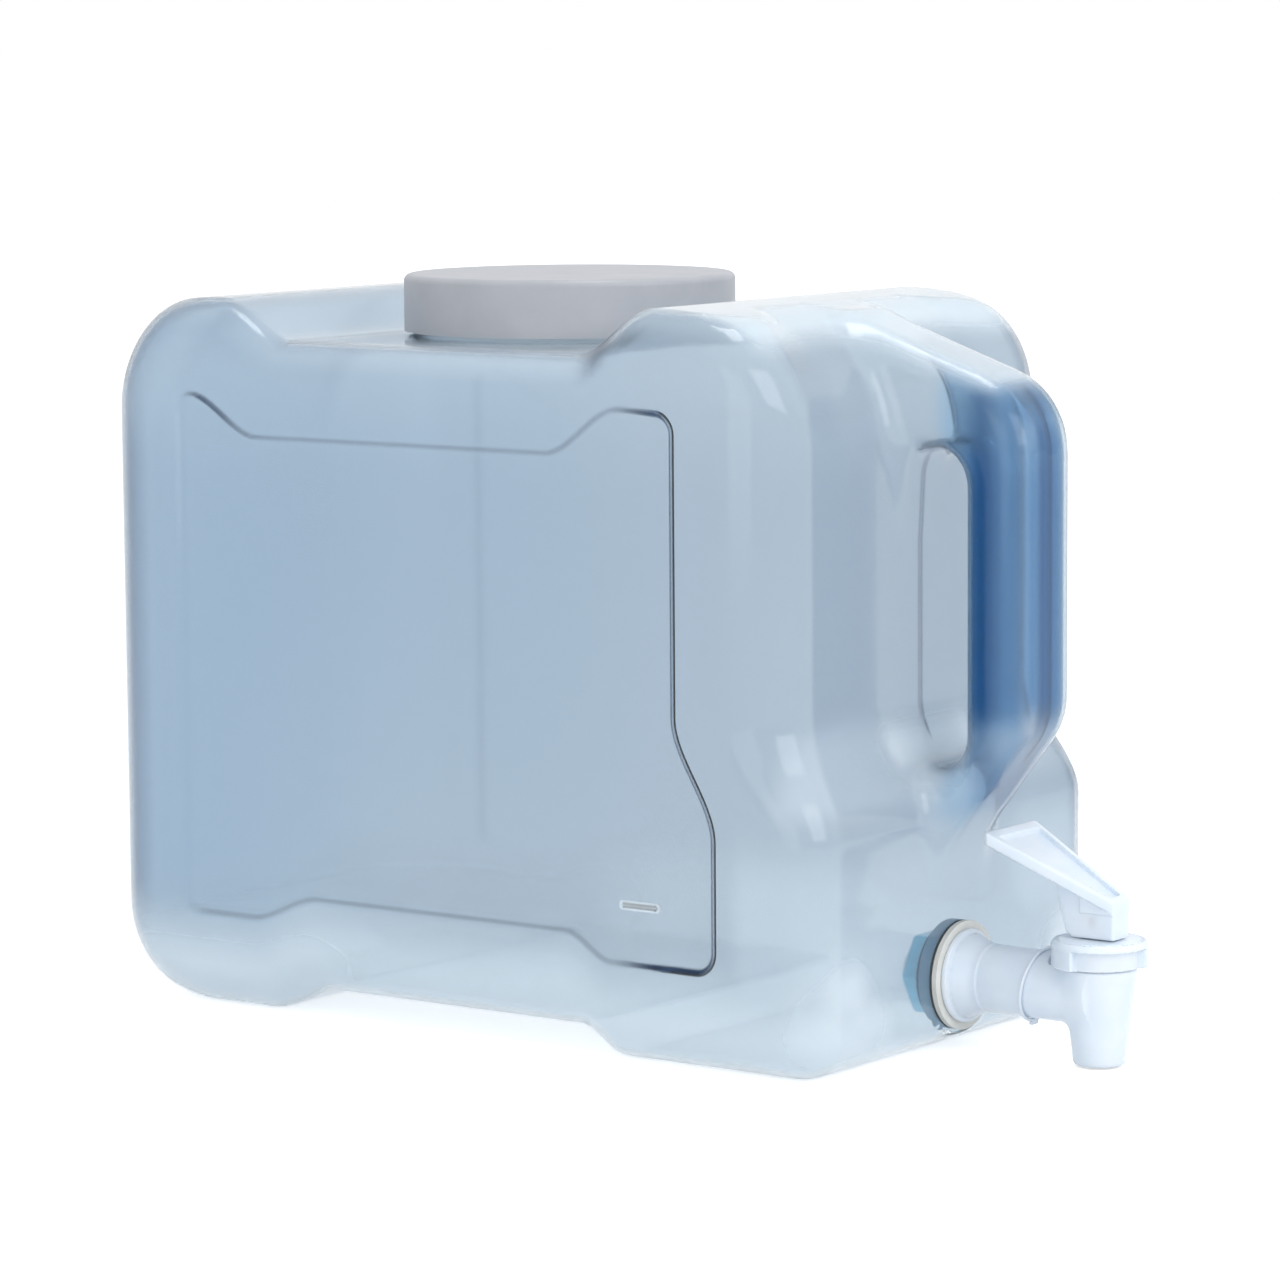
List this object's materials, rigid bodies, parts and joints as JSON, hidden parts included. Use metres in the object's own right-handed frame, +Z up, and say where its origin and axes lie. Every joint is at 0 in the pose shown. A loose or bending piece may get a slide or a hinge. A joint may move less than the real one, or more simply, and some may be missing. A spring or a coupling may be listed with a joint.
{
  "type": "detergent dispenser bottle",
  "caption": "Rectangular translucent blow-moulded dispenser bottle with a moulded front grip, a wide screw cap and a lever tap near the base, for pouring liquid by the glass or scoop",
  "frame": {"origin": "on the floor under the middle of the whole dispenser's box", "axes": "+X towards the tap, +Y towards the far label side, +Z up"},
  "size_m": [0.3988, 0.181, 0.2666],
  "materials": {
    "bottle_plastic": "translucent pale blue, smooth blow-moulded",
    "cap_plastic": "opaque white-grey, satin",
    "liner_foam": "closed-cell foam disc",
    "tap_plastic": "white moulded plastic",
    "washer_rubber": "off-white silicone",
    "gasket_rubber": "grey rubber",
    "steel": "stainless wire and pin"
  },
  "bodies": {
    "bottle": {"bottle": "bottle_plastic", "tap_body": "tap_plastic", "tap_washer": "washer_rubber", "tap_gasket": "gasket_rubber", "lock_nut": "tap_plastic", "collar_ring": "tap_plastic", "bonnet": "tap_plastic", "seat_cup": "washer_rubber", "return_spring": "steel"},
    "stem": {"valve_stem": "tap_plastic"},
    "lever": {"lever": "tap_plastic", "lever_pin": "steel"},
    "liner": {"cap_liner": "liner_foam"},
    "cap": {"cap": "cap_plastic"}
  },
  "joints": [
    {"name": "cap_rise", "type": "slide", "parent": "bottle", "child": "liner", "axis": [0, 0, 1], "range_m": [0, 0.0068]},
    {"name": "cap_unscrew", "type": "hinge", "parent": "liner", "child": "cap", "pos_m": [-0.0414, 0, 0.256], "axis": [0, 0, 1], "range_deg": [0, 480]},
    {"name": "stem_lift", "type": "slide", "parent": "bottle", "child": "stem", "axis": [0, 0, 1], "range_m": [0, 0.0028], "deforming": ["seat_cup", "return_spring"]},
    {"name": "lever_tilt", "type": "hinge", "parent": "stem", "child": "lever", "pos_m": [0.1826, 0, 0.0505], "axis": [0, -1, 0], "range_deg": [0, 22], "stiffness_Nm_per_rad": 0.08, "springref_deg": -14.32}
  ],
  "couplings": [
    {"joint": "cap_rise", "follows": "cap_unscrew", "m_per_rad": 0.000808},
    {"joint": "stem_lift", "follows": "lever_tilt", "m_per_rad": 0.0072}
  ]
}
